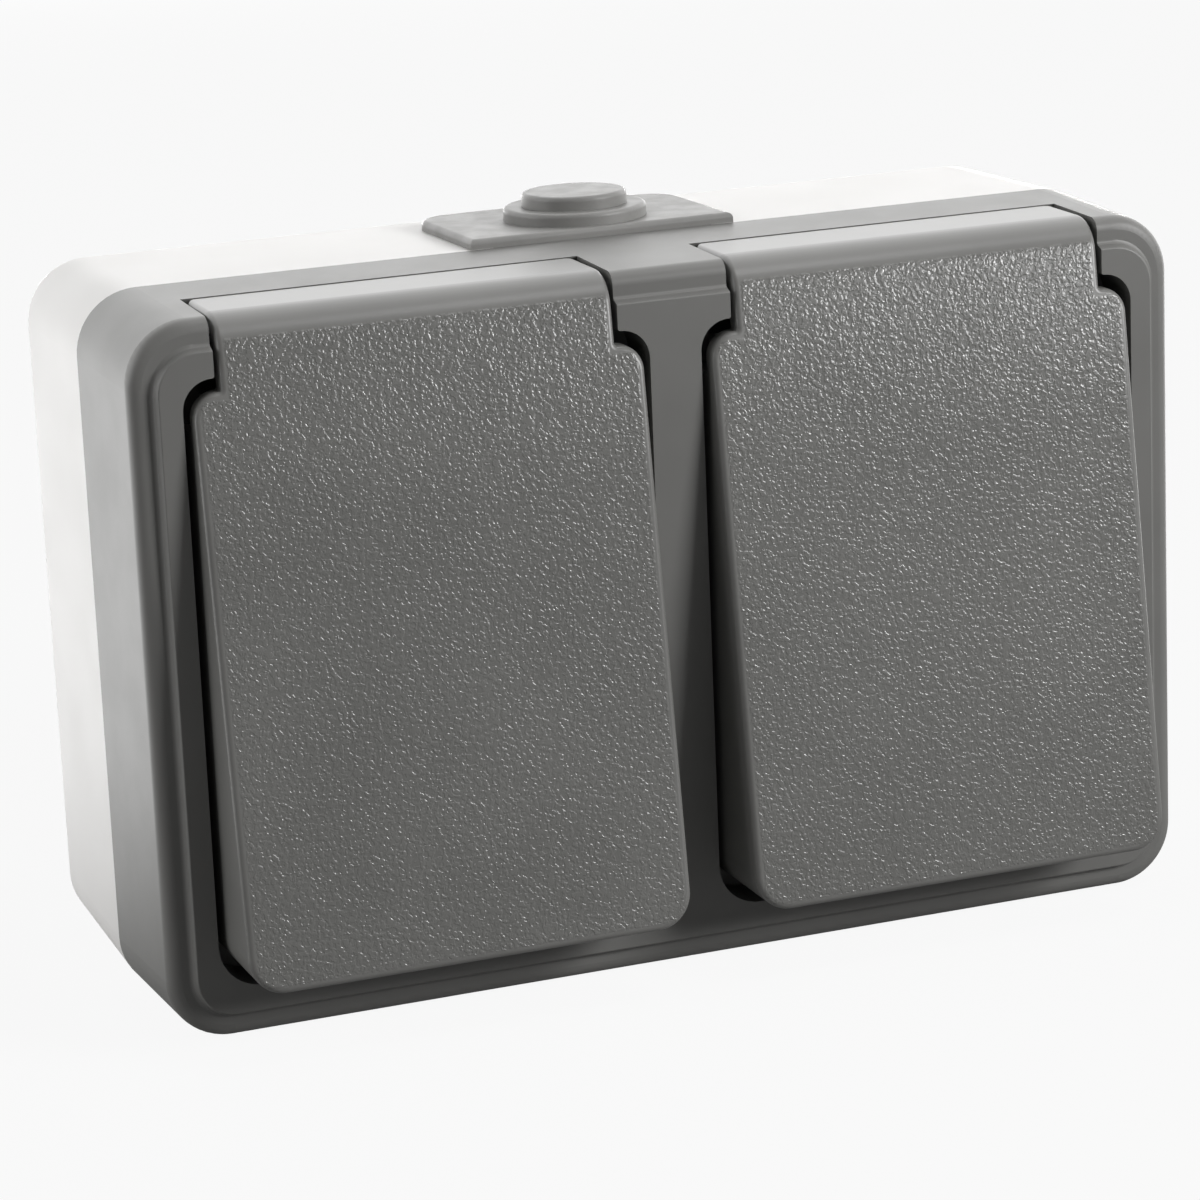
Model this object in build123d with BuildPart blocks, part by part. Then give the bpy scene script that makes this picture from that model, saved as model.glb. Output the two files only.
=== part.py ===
"""Double weatherproof wall socket with two sprung lids.

Millimetres. The origin is the middle of the back face, on the wall. +X is to the right seen from
the front, +Z is up and -Y points out of the wall, so a depth is a distance from the wall along -Y.
"""
import os
from math import cos, radians, sin, tan

from build123d import *

# Socket cups
cup_recess_radius = 19.75
cup_recess_depth = 17.5
cup_wall = 3.0
cup_floor = 2.5
cup_flange_width = 2.8
cup_flange_thickness = 2.0
cup_clearance = 0.2
cup_mouth_round = 0.8
pin_pitch = 19.0
pin_hole_radius = 2.6
key_width = 5.0
key_height = 2.2
key_setback = 1.5

# Lid seals
seal_inset = 0.25
seal_width = 2.0
seal_thickness = 2.5
seal_stand_off = 0.3
seal_seat = 1.5
seal_fit = 0.05
rib_wall = 0.7
rib_room = 1.35

# Lids
neck_inset = 3.65
shoulder_setback = 9.3
lid_bottom_setback = 9.3
shoulder_stand_off = 0.6
lid_tilt = 7.8
lid_plate = 2.2
lid_skirt_wall = 2.0
skirt_setback = 5.0
lid_corner = 4.5
neck_root_round = 0.3
shoulder_flat = 0.05
lid_edge_round = 0.7
lid_top_round = 4.6
strip_drop = 0.3
strip_thickness = 2.0
strip_clip = 1.0

# Housings
body_height = 92.0
corner_radius = 8.0
rear_depth = 28.0
draft = 1.2
wall = 2.6
floor_thickness = 2.6
back_edge_round = 0.8
rim_round = 1.7
rim_width = 2.85
rim_top_width = 3.3
plateau_rise = 1.2
plateau_lean = 0.5
plateau_corner = 5.0
plateau_edge_round = 0.2
plateau_foot_round = 0.55
lip_inset = 1.5
lip_height = 2.5
lip_clearance = 0.15
gasket_thickness = 1.0

# Pockets and slots in the front housing
pocket_side_gap = 1.1
pocket_top_gap = 1.7
pocket_bottom_gap = 2.1
pocket_depth = 7.5
pocket_margin = 2.9
post_width = 6.9
slot_gap = 0.6
slot_rear_gap = 0.35
tub_wall = 2.0
skirt_floor_gap = 0.8

# Hinges
hinge_setback = 5.0
hinge_drop = 3.0
tail_length = 8.0
pin_radius = 1.1
pin_fit = 0.05
pin_seat_depth = 2.8
pin_end_play = 0.2
pin_chamfer = 0.3
seat_mouth = 1.9
cheek_width = 4.4
barrel_radius = 2.2
swing_clearance = 0.35

# Lid springs
spring_wire = 0.5
spring_turns = 6
spring_length = 4.8
spring_gap = 0.2
spring_room = 0.3
lid_leg_length = 6.0
base_leg_length = 8.0
base_leg_angle = 35.0

# Contacts
carrier_width = 44.0
carrier_height = 40.0
carrier_thickness = 18.0
carrier_corner = 3.0
carrier_stand_off = 5.4
strip_gauge = 0.8
rail_width = 5.0
rail_height = 9.5
rail_room = 0.3
plug_pin = 4.8
fork_width = 6.0
fork_length = 11.5
chamber_room = 1.0
earth_arm_width = 6.0
earth_arm_room = 0.5
earth_slot_room = 0.5
earth_tip_reach = 14.0
earth_bump_reach = 9.0
earth_root_reach = 3.0
earth_bump = 2.8

# Screws and terminals
screw_radius = 1.5
screw_fit = 0.05
screw_head_radius = 2.8
screw_head_height = 2.0
head_room = 0.4
carrier_screw_inset = 4.0
carrier_screw_drop = 3.5
carrier_counterbore = 3.0
boss_radius = 3.6
boss_blind = 1.0
screw_tip_gap = 0.5
cover_screw_radius = 1.75
cover_head_radius = 3.4
cover_head_height = 1.8
cover_screw_reach = 11.0
countersink_angle = 90.0
drive_slot = 0.8
drive_length = 3.6
drive_depth = 1.0
clamp_width = 9.0
clamp_height = 8.0
clamp_bar = 1.0
clamp_wire_room = 4.2
clamp_nut = 3.0
clamp_side = 1.2
terminal_screw_gap = 1.0
terminal_screw_rise = 2.0

# Wall fixing holes
fixing_pitch_x = 100.0
fixing_pitch_z = 68.0
fixing_radius = 2.3
fixing_collar_radius = 5.5
fixing_collar_height = 3.0

# Cable gland
gland_width = 36.3
gland_depth = 23.6
gland_plate = 1.3
gland_corner = 5.0
gland_edge_round = 0.7
gland_border = 3.0
gland_fit = 0.1
gland_inner_plate = 1.6
gland_disc_setback = 10.4
gland_disc_radius = 9.4
gland_disc_height = 1.7
gland_cap_radius = 6.9
gland_cap_height = 1.8
gland_disc_round = 0.6
gland_membrane = 1.2
cut_over = 1.5

# How near two coordinates count as the same
match = 0.01

# Depths from the wall, from the floor outwards
carrier_back = floor_thickness + carrier_stand_off
cup_back = carrier_back + carrier_thickness
cup_floor_front = cup_back + cup_floor
cup_mouth = cup_floor_front + cup_recess_depth
tub_floor = cup_mouth - cup_flange_thickness
face_depth = tub_floor + pocket_depth
rim_depth = face_depth - plateau_rise
skirt_back = tub_floor + skirt_floor_gap
shoulder_depth = face_depth + shoulder_stand_off
seal_back = cup_mouth + seal_stand_off
rib_back = seal_back + seal_thickness - seal_seat
rail_back = cup_back - strip_gauge - rail_room / 2
earth_web_back = carrier_back - strip_gauge
earth_rail_back = earth_web_back - strip_gauge

# Radii round each socket's centre
cup_outer_radius = cup_recess_radius + cup_wall
flange_radius = cup_outer_radius + cup_flange_width
seal_inner_radius = cup_outer_radius + seal_inset
seal_outer_radius = seal_inner_radius + seal_width
rib_inner_radius = seal_inner_radius - rib_wall
rib_outer_radius = seal_outer_radius + rib_wall

# Widths across the front
lid_width = 2 * (rib_outer_radius + rib_room + lid_skirt_wall)
neck_width = lid_width - 2 * neck_inset
pocket_half = lid_width / 2 + pocket_side_gap
slot_half = neck_width / 2 + slot_gap
lid_pitch = 2 * pocket_half + post_width
slope = tan(radians(draft))
rear_shrink = 2 * rear_depth * slope
rim_shrink = 2 * (rim_depth - rear_depth) * slope
plateau_width = lid_pitch + 2 * pocket_half + 2 * pocket_margin
rim_outer_width = plateau_width + 2 * plateau_lean + 2 * rim_width
body_width = rim_outer_width + rim_shrink
rim_outer_height = body_height - rim_shrink
plateau_height = rim_outer_height - rim_width - rim_top_width - 2 * plateau_lean
plateau_middle = (rim_width - rim_top_width) / 2
lid_shoulder_round = neck_inset - neck_root_round - shoulder_flat
pocket_shoulder_round = pocket_half - slot_half - neck_root_round - shoulder_flat
lid_inner_round = lid_top_round - lid_plate
carrier_screw_x = carrier_width / 2 - carrier_screw_inset
carrier_screw_z = carrier_height / 2 - carrier_screw_drop
lid_centres = {"left": -lid_pitch / 2, "right": lid_pitch / 2}
centre_points = [(x, 0) for x in lid_centres.values()]

# Heights of the lid and its hinge
shoulder_top = body_height / 2 - shoulder_setback
lid_bottom = lid_bottom_setback - body_height / 2
skirt_top = shoulder_top - skirt_setback
strip_top = body_height / 2 - strip_drop
strip_under = strip_top - strip_thickness
pocket_top = shoulder_top + pocket_top_gap
pocket_bottom = lid_bottom - pocket_bottom_gap
hinge_height = strip_top - hinge_drop
hinge_depth = face_depth - hinge_setback
tail_rear = hinge_depth - tail_length
slot_rear = tail_rear - slot_rear_gap
tail_sweep = (tail_length**2 + hinge_drop**2) ** 0.5
well_floor = hinge_height - tail_sweep - swing_clearance
spring_start = spring_wire / 2 - slot_half
spring_bore = pin_radius + spring_gap
spring_radius = spring_bore + spring_wire
spring_end = spring_start + spring_length
far = 2 * face_depth

carrier_screw_places = [(carrier_screw_x, carrier_screw_z), (-carrier_screw_x, -carrier_screw_z)]


def wall_plane(depth, x=0.0, z=0.0):
    """Plane parallel to the wall at a depth, facing the room, with X right and Z up."""
    return Plane(origin=(x, -depth, z), x_dir=(1, 0, 0), z_dir=(0, -1, 0))


def side_plane(x):
    """Upright plane across the wall at x: points on it are (-depth, height)."""
    return Plane.YZ.offset(x)


def lid_front(height):
    """Depth of the tilted outer face of a lid at a height."""
    return shoulder_depth + (shoulder_top - height) * tan(radians(lid_tilt))


def lid_inside(height):
    """Depth of the inner face of a lid's plate at a height."""
    return lid_front(height) - lid_plate / cos(radians(lid_tilt))


def necked_outline(half_width, half_neck, bottom, shoulder, top, bottom_round, shoulder_radius, root_round):
    """Outline of a lid or its pocket: a broad panel with a narrower neck above its shoulders."""
    with BuildSketch() as outline:
        with BuildLine():
            Polyline(
                (-half_width, bottom),
                (half_width, bottom),
                (half_width, shoulder),
                (half_neck, shoulder),
                (half_neck, top),
                (-half_neck, top),
                (-half_neck, shoulder),
                (-half_width, shoulder),
                close=True,
            )
        make_face()
        fillet(outline.vertices().group_by(Axis.Y)[0], bottom_round)
        corners = outline.vertices().filter_by_position(Axis.Y, shoulder - match, shoulder + match)
        fillet(corners.sort_by(Axis.X)[0], shoulder_radius)
        corners = outline.vertices().filter_by_position(Axis.Y, shoulder - match, shoulder + match)
        fillet(corners.sort_by(Axis.X)[-1], shoulder_radius)
        corners = outline.vertices().filter_by_position(Axis.Y, shoulder - match, shoulder + match)
        roots = [v for v in corners if abs(abs(v.X) - half_neck) < match]
        fillet(roots, root_round)
    return outline.sketch


def save(part, name):
    """Label a finished piece and write it."""
    part.label = name
    export_step(part, f"parts/{name}.step")


os.makedirs("parts", exist_ok=True)

# Rear housing: a drafted wall box with a lip round its open front
with BuildPart() as rear_housing:
    with BuildSketch(wall_plane(0)):
        RectangleRounded(body_width - rear_shrink, body_height - rear_shrink, corner_radius)
    with BuildSketch(wall_plane(rear_depth)):
        RectangleRounded(body_width, body_height, corner_radius)
    loft()
    fillet(rear_housing.faces().sort_by(Axis.Y)[-1].edges(), back_edge_round)
    inner_shrink = 2 * (rear_depth - floor_thickness) * slope + 2 * wall
    with BuildSketch(wall_plane(floor_thickness)):
        RectangleRounded(body_width - inner_shrink, body_height - inner_shrink, corner_radius - wall)
    with BuildSketch(wall_plane(rear_depth)):
        RectangleRounded(body_width - 2 * wall, body_height - 2 * wall, corner_radius - wall)
    loft(mode=Mode.SUBTRACT)
    with BuildSketch(wall_plane(rear_depth)):
        RectangleRounded(body_width - 2 * lip_inset, body_height - 2 * lip_inset, corner_radius - lip_inset)
        RectangleRounded(
            body_width - 2 * wall, body_height - 2 * wall, corner_radius - wall, mode=Mode.SUBTRACT
        )
    extrude(amount=lip_height)
    # Collars round the wall fixing holes, and posts for the contact carriers
    with BuildSketch(wall_plane(floor_thickness)):
        with GridLocations(fixing_pitch_x, fixing_pitch_z, 2, 2):
            Circle(fixing_collar_radius)
    extrude(amount=fixing_collar_height)
    with BuildSketch(wall_plane(0)):
        with GridLocations(fixing_pitch_x, fixing_pitch_z, 2, 2):
            Circle(fixing_radius)
    extrude(amount=floor_thickness + fixing_collar_height, mode=Mode.SUBTRACT)
    with BuildSketch(wall_plane(floor_thickness)):
        with Locations(*centre_points):
            with GridLocations(2 * carrier_screw_x, 2 * carrier_screw_z, 2, 2):
                Circle(boss_radius)
    extrude(amount=carrier_stand_off)
    with BuildSketch(wall_plane(carrier_back)):
        with Locations(*centre_points):
            with Locations(*carrier_screw_places):
                Circle(screw_radius + screw_fit)
    extrude(amount=boss_blind - carrier_stand_off, mode=Mode.SUBTRACT)
    # Opening for the cable gland, from the joint line back through the top wall
    with BuildSketch(Plane.XY.offset(body_height / 2 + cut_over)):
        with Locations((0, -rear_depth - lip_height / 2)):
            Rectangle(gland_width - 2 * gland_border, 2 * (gland_depth - gland_border) + lip_height)
    extrude(amount=-wall - 2 * cut_over, mode=Mode.SUBTRACT)
save(rear_housing.part, "rear_housing")

# Gasket between the lip of the rear housing and the rebate of the front housing
with BuildPart() as housing_gasket:
    with BuildSketch(wall_plane(rear_depth + lip_height)):
        RectangleRounded(body_width - 2 * lip_inset, body_height - 2 * lip_inset, corner_radius - lip_inset)
        RectangleRounded(
            body_width - 2 * wall, body_height - 2 * wall, corner_radius - wall, mode=Mode.SUBTRACT
        )
    extrude(amount=gasket_thickness)
save(housing_gasket.part, "housing_gasket")

# Cable gland: a rubber grommet that grips the top wall, with a stepped blind membrane
gland_slope = (0, sin(radians(draft)), cos(radians(draft)))
gland_plane = Plane(origin=(0, -rear_depth, body_height / 2), x_dir=(1, 0, 0), z_dir=gland_slope)
gland_middle = gland_depth / 2 + gland_fit
with BuildPart() as cable_gland:
    with BuildSketch(gland_plane) as gland_plan:
        with Locations((0, gland_middle)):
            Rectangle(gland_width, gland_depth)
        fillet(gland_plan.vertices().group_by(Axis.Y)[-1], gland_corner)
    extrude(amount=gland_plate)
    fillet(cable_gland.faces().sort_by(Axis.Z)[-1].edges(), gland_edge_round)
    with BuildSketch(gland_plane):
        neck_depth = gland_depth - gland_border - 2 * gland_fit
        with Locations((0, gland_fit + neck_depth / 2)):
            Rectangle(gland_width - 2 * gland_border - 2 * gland_fit, neck_depth)
    extrude(amount=-wall - gland_fit)
    with BuildSketch(gland_plane.offset(-wall - gland_fit)):
        with Locations((0, gland_middle)):
            Rectangle(gland_width, gland_depth - 2 * gland_fit)
    extrude(amount=-gland_inner_plate)
    with BuildSketch(gland_plane.offset(gland_plate)):
        with Locations((0, gland_disc_setback)):
            Circle(gland_disc_radius)
    extrude(amount=gland_disc_height)
    with BuildSketch(gland_plane.offset(gland_plate + gland_disc_height)):
        with Locations((0, gland_disc_setback)):
            Circle(gland_cap_radius)
    extrude(amount=gland_cap_height)
    discs = cable_gland.edges().filter_by(GeomType.CIRCLE).sort_by(Axis.Z)
    fillet([discs[-1], discs[-3]], gland_disc_round)
    with BuildSketch(gland_plane.offset(gland_plate + gland_disc_height - gland_membrane)):
        with Locations((0, gland_disc_setback)):
            Circle(gland_disc_radius - gland_membrane)
    extrude(amount=-(gland_plate + gland_disc_height + wall + gland_inner_plate), mode=Mode.SUBTRACT)
    with BuildSketch(gland_plane.offset(gland_plate)):
        with Locations((0, gland_disc_setback)):
            Circle(gland_cap_radius - gland_membrane)
    extrude(amount=gland_disc_height + gland_cap_height - gland_membrane, mode=Mode.SUBTRACT)
save(cable_gland.part, "cable_gland")

# Front housing: a drafted shell with two tubs that take the lids
pocket_outline = necked_outline(
    pocket_half,
    slot_half,
    pocket_bottom,
    pocket_top,
    body_height,
    lid_corner + pocket_side_gap,
    pocket_shoulder_round,
    neck_root_round,
)
tub_outline = necked_outline(
    pocket_half + tub_wall,
    slot_half + tub_wall,
    pocket_bottom - tub_wall,
    pocket_top + tub_wall,
    strip_under,
    lid_corner + pocket_side_gap + tub_wall,
    lid_shoulder_round,
    neck_root_round,
)
with BuildPart() as front_housing:
    with BuildSketch(wall_plane(rear_depth)):
        RectangleRounded(body_width, body_height, corner_radius)
    with BuildSketch(wall_plane(rim_depth)):
        RectangleRounded(rim_outer_width, rim_outer_height, corner_radius)
    loft()
    fillet(front_housing.faces().sort_by(Axis.Y)[0].edges(), rim_round)
    # Raised face within the rim, with soft edges
    with BuildSketch(wall_plane(rim_depth, 0, plateau_middle)):
        foot = 2 * plateau_lean
        RectangleRounded(plateau_width + foot, plateau_height + foot, plateau_corner + plateau_lean)
    with BuildSketch(wall_plane(face_depth, 0, plateau_middle)):
        RectangleRounded(plateau_width, plateau_height, plateau_corner)
    loft()
    front_faces = front_housing.faces().filter_by(Axis.Y).sort_by(Axis.Y)
    fillet(front_faces[1].inner_wires()[0].edges(), plateau_foot_round)
    fillet(front_housing.faces().sort_by(Axis.Y)[0].edges(), plateau_edge_round)
    ceiling = rim_depth - wall
    ceiling_shrink = 2 * (ceiling - rear_depth) * slope + 2 * wall
    with BuildSketch(wall_plane(rear_depth)):
        RectangleRounded(body_width - 2 * wall, body_height - 2 * wall, corner_radius - wall)
    with BuildSketch(wall_plane(ceiling)):
        RectangleRounded(body_width - ceiling_shrink, body_height - ceiling_shrink, corner_radius - wall)
    loft(mode=Mode.SUBTRACT)
    # Rebate that takes the lip and the gasket
    with BuildSketch(wall_plane(rear_depth)):
        rebate = 2 * (lip_inset - lip_clearance)
        RectangleRounded(body_width - rebate, body_height - rebate, corner_radius - rebate / 2)
    extrude(amount=lip_height + gasket_thickness, mode=Mode.SUBTRACT)
    # Tubs behind the face, with a deeper well and thick cheeks round each hinge
    with BuildSketch(wall_plane(tub_floor - tub_wall)):
        with Locations(*centre_points):
            add(tub_outline)
    extrude(amount=rim_depth - tub_floor + tub_wall - plateau_foot_round)
    well_height = strip_top - wall / 2 - well_floor + tub_wall
    with BuildSketch(wall_plane(slot_rear - tub_wall)):
        with Locations(*[(x, well_floor - tub_wall + well_height / 2) for x, _ in centre_points]):
            Rectangle(2 * (slot_half + cheek_width), well_height)
    extrude(amount=rim_depth - slot_rear)
    with BuildSketch(wall_plane(tub_floor)):
        with Locations(*centre_points):
            add(pocket_outline)
    extrude(amount=far, mode=Mode.SUBTRACT)
    with BuildSketch(wall_plane(slot_rear)):
        with Locations(*[(x, (well_floor + body_height) / 2) for x, _ in centre_points]):
            Rectangle(2 * slot_half, body_height - well_floor)
    extrude(amount=far, mode=Mode.SUBTRACT)
    for centre in lid_centres.values():
        with BuildSketch(side_plane(centre)):
            with Locations((-hinge_depth, hinge_height)):
                Circle(tail_sweep + swing_clearance)
        extrude(amount=slot_half, both=True, mode=Mode.SUBTRACT)
    with BuildSketch(wall_plane(tub_floor - tub_wall)):
        with Locations(*centre_points):
            Circle(cup_outer_radius + cup_clearance)
    extrude(amount=tub_wall, mode=Mode.SUBTRACT)
    # Snap seats for the hinge pins: a round seat in each cheek with a narrower mouth below it
    seat_half = slot_half + pin_seat_depth + pin_end_play
    for centre in lid_centres.values():
        with BuildSketch(side_plane(centre)):
            with Locations((-hinge_depth, hinge_height)):
                Circle(pin_radius + pin_fit)
            with Locations((-hinge_depth, (hinge_height + pocket_top) / 2)):
                Rectangle(seat_mouth, hinge_height - pocket_top)
        extrude(amount=seat_half, both=True, mode=Mode.SUBTRACT)
save(front_housing.part, "front_housing")

# Lids: tilted plate, skirt, seal rib, and a top strip with the hinge barrels under it
lid_outline = necked_outline(
    lid_width / 2,
    neck_width / 2,
    lid_bottom,
    shoulder_top,
    strip_top,
    lid_corner,
    lid_shoulder_round,
    neck_root_round,
)
inner_half = lid_width / 2 - lid_skirt_wall
for side, centre in lid_centres.items():
    with BuildPart() as lid:
        with BuildSketch(wall_plane(skirt_back, centre)):
            with Locations((0, (skirt_top + lid_bottom) / 2)):
                Rectangle(lid_width, skirt_top - lid_bottom)
            with Locations((0, (far + lid_bottom + lid_skirt_wall) / 2)):
                Rectangle(2 * inner_half, far - lid_bottom - lid_skirt_wall, mode=Mode.SUBTRACT)
        extrude(amount=far)
        with BuildSketch(wall_plane(rib_back, centre)):
            Circle(rib_outer_radius)
            Circle(rib_inner_radius, mode=Mode.SUBTRACT)
        extrude(amount=far)
        with BuildSketch(wall_plane(rib_back, centre)):
            Circle(seal_outer_radius + seal_fit)
            Circle(seal_inner_radius - seal_fit, mode=Mode.SUBTRACT)
        extrude(amount=seal_seat, mode=Mode.SUBTRACT)
        with BuildSketch(side_plane(centre)):
            with BuildLine():
                Polyline(
                    (-lid_front(-far), -far),
                    (-lid_front(far), far),
                    (-2 * far, far),
                    (-2 * far, -far),
                    close=True,
                )
            make_face()
        extrude(amount=lid_width, both=True, mode=Mode.SUBTRACT)
        with BuildSketch(side_plane(centre)) as plate_profile:
            with BuildLine():
                Polyline(
                    (-tail_rear, strip_top),
                    (-lid_front(strip_top), strip_top),
                    (-lid_front(lid_bottom), lid_bottom),
                    (-lid_inside(lid_bottom), lid_bottom),
                    (-lid_inside(strip_under), strip_under),
                    (-tail_rear, strip_under),
                    close=True,
                )
            make_face()
            nose = plate_profile.vertices().sort_by_distance((-lid_front(strip_top), strip_top))[0]
            fillet(nose, lid_top_round)
            bend = plate_profile.vertices().sort_by_distance((-lid_inside(strip_under), strip_under))[0]
            fillet(bend, lid_inner_round)
        extrude(amount=lid_width / 2, both=True)
        with BuildSketch(side_plane(centre)):
            with Locations((-hinge_depth, hinge_height)):
                Circle(barrel_radius)
        extrude(amount=neck_width / 2, both=True)
        with BuildSketch(wall_plane(0, centre)):
            add(lid_outline)
        extrude(amount=2 * far, mode=Mode.INTERSECT)
        # Room for the spring coil at the left end, and the bore for the pin
        with BuildSketch(side_plane(centre + spring_end + spring_room)):
            with Locations((-hinge_depth, hinge_height)):
                Circle(barrel_radius)
                Circle(spring_radius + spring_room)
        extrude(amount=-spring_length - spring_room, mode=Mode.SUBTRACT)
        with BuildSketch(side_plane(centre)):
            with Locations((-hinge_depth, hinge_height)):
                Circle(pin_radius + pin_fit)
        extrude(amount=lid_width, both=True, mode=Mode.SUBTRACT)
        tail_corners = lid.edges().filter_by(Axis.Z).group_by(Axis.Y)[-1]
        chamfer(tail_corners, strip_clip)
        front_edges = lid.faces().sort_by(Axis.Y)[0].edges().sort_by(Axis.Z)[:-1]
        fillet(front_edges, lid_edge_round)
    save(lid.part, f"{side}_lid")

# Rubber ring in each lid that presses on the rim of the socket
for side, centre in lid_centres.items():
    with BuildPart() as lid_seal:
        with BuildSketch(wall_plane(seal_back, centre)):
            Circle(seal_outer_radius)
            Circle(seal_inner_radius, mode=Mode.SUBTRACT)
        extrude(amount=seal_thickness)
    save(lid_seal.part, f"{side}_lid_seal")

# Hinge pins
for side, centre in lid_centres.items():
    with BuildPart() as hinge_pin:
        with BuildSketch(side_plane(centre)):
            with Locations((-hinge_depth, hinge_height)):
                Circle(pin_radius)
        extrude(amount=slot_half + pin_seat_depth, both=True)
        chamfer(hinge_pin.edges().filter_by(GeomType.CIRCLE), pin_chamfer)
    save(hinge_pin.part, f"{side}_hinge_pin")

# Torsion springs: the turns as ridges, one leg under the tail of the lid and one in the side gap
for side, centre in lid_centres.items():
    with BuildPart() as lid_spring:
        turn = spring_length / spring_turns
        ridge_points = [(spring_start, spring_bore)]
        for index in range(spring_turns):
            ridge_points.append((spring_start + index * turn, spring_radius - spring_wire / 2))
            ridge_points.append((spring_start + (index + 0.5) * turn, spring_radius))
        ridge_points.append((spring_end, spring_radius - spring_wire / 2))
        ridge_points.append((spring_end, spring_bore))
        with BuildSketch(wall_plane(hinge_depth, centre, hinge_height)):
            with BuildLine():
                Polyline(*ridge_points, close=True)
            make_face()
        revolve(axis=Axis((centre, -hinge_depth, hinge_height), (1, 0, 0)))
        leg_middle = spring_bore + spring_wire / 2
        lid_leg_height = strip_under - hinge_height - spring_wire
        lid_leg_x = centre + spring_end - spring_wire
        with BuildSketch(wall_plane(hinge_depth - leg_middle, lid_leg_x, hinge_height + lid_leg_height)):
            Circle(spring_wire / 2)
        extrude(amount=-lid_leg_length)
        base_leg_axis = (0, cos(radians(base_leg_angle)), -sin(radians(base_leg_angle)))
        base_leg_start = (
            centre + spring_start,
            -hinge_depth - leg_middle * sin(radians(base_leg_angle)),
            hinge_height - leg_middle * cos(radians(base_leg_angle)),
        )
        with BuildSketch(Plane(origin=base_leg_start, x_dir=(1, 0, 0), z_dir=base_leg_axis)):
            Circle(spring_wire / 2)
        extrude(amount=base_leg_length)
    save(lid_spring.part, f"{side}_lid_spring")

# Socket cups: flanged round recesses with side keys, pin holes and slots for the earth clips
earth_slot = earth_arm_width + 2 * earth_slot_room
for side, centre in lid_centres.items():
    with BuildPart() as socket_cup:
        with BuildSketch(wall_plane(cup_back, centre)):
            Circle(cup_outer_radius)
        extrude(amount=cup_mouth - cup_back)
        with BuildSketch(wall_plane(tub_floor, centre)):
            Circle(flange_radius)
        extrude(amount=cup_flange_thickness)
        with BuildSketch(wall_plane(cup_floor_front, centre)):
            Circle(cup_recess_radius)
        extrude(amount=cup_recess_depth, mode=Mode.SUBTRACT)
        mouth = socket_cup.faces().sort_by(Axis.Y)[0]
        fillet(mouth.edges(), cup_mouth_round)
        with BuildSketch(wall_plane(cup_floor_front, centre)):
            with GridLocations(2 * cup_recess_radius - key_height + cup_wall / 2, 0, 2, 1):
                Rectangle(key_height + cup_wall / 2, key_width)
        extrude(amount=cup_recess_depth - key_setback)
        with BuildSketch(wall_plane(cup_back, centre)):
            with GridLocations(0, 2 * cup_outer_radius, 1, 2):
                Rectangle(earth_slot, 2 * (cup_outer_radius - carrier_height / 2 + earth_bump))
        extrude(amount=tub_floor - cup_back - cup_flange_thickness / 2, mode=Mode.SUBTRACT)
        with BuildSketch(wall_plane(cup_back, centre)):
            with GridLocations(pin_pitch, 0, 2, 1):
                Circle(pin_hole_radius)
        extrude(amount=cup_floor, mode=Mode.SUBTRACT)
        with Locations(wall_plane(cup_floor_front, centre)):
            shaft_bore = cover_screw_radius + screw_fit
            CounterSinkHole(shaft_bore, cover_head_radius + screw_fit, cup_floor, countersink_angle)
    save(socket_cup.part, f"{side}_socket_cup")

# Contact carriers: moulded blocks with a chamber for each fork and a channel for each rail
chamber = fork_width + 2 * chamber_room
fork_height = plug_pin + 2 * strip_gauge
channel = rail_width + 2 * rail_room
for side, centre in lid_centres.items():
    with BuildPart() as contact_carrier:
        with BuildSketch(wall_plane(carrier_back, centre)):
            RectangleRounded(carrier_width, carrier_height, carrier_corner)
        extrude(amount=carrier_thickness)
        with BuildSketch(wall_plane(cup_back, centre)):
            with GridLocations(pin_pitch, 0, 2, 1):
                Rectangle(chamber, fork_height + 2 * chamber_room)
        extrude(amount=-(fork_length + strip_gauge + chamber_room), mode=Mode.SUBTRACT)
        with BuildSketch(wall_plane(cup_back, centre)):
            with GridLocations(0, 2 * rail_height, 1, 2):
                Rectangle(carrier_width, channel)
            with Locations((-pin_pitch / 2, rail_height / 2), (pin_pitch / 2, -rail_height / 2)):
                Rectangle(fork_width + 2 * rail_room, rail_height)
        extrude(amount=-(strip_gauge + rail_room), mode=Mode.SUBTRACT)
        with BuildSketch(wall_plane(cup_back, centre)):
            Circle(cover_screw_radius + screw_fit)
        extrude(amount=-cover_screw_reach - screw_tip_gap, mode=Mode.SUBTRACT)
        with BuildSketch(wall_plane(cup_back, centre)):
            with Locations(*carrier_screw_places):
                Circle(screw_head_radius + head_room)
        extrude(amount=-carrier_counterbore, mode=Mode.SUBTRACT)
        with BuildSketch(wall_plane(cup_back, centre)):
            with Locations(*carrier_screw_places):
                Circle(screw_radius + screw_fit)
        extrude(amount=-carrier_thickness, mode=Mode.SUBTRACT)
    save(contact_carrier.part, f"{side}_contact_carrier")

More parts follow.
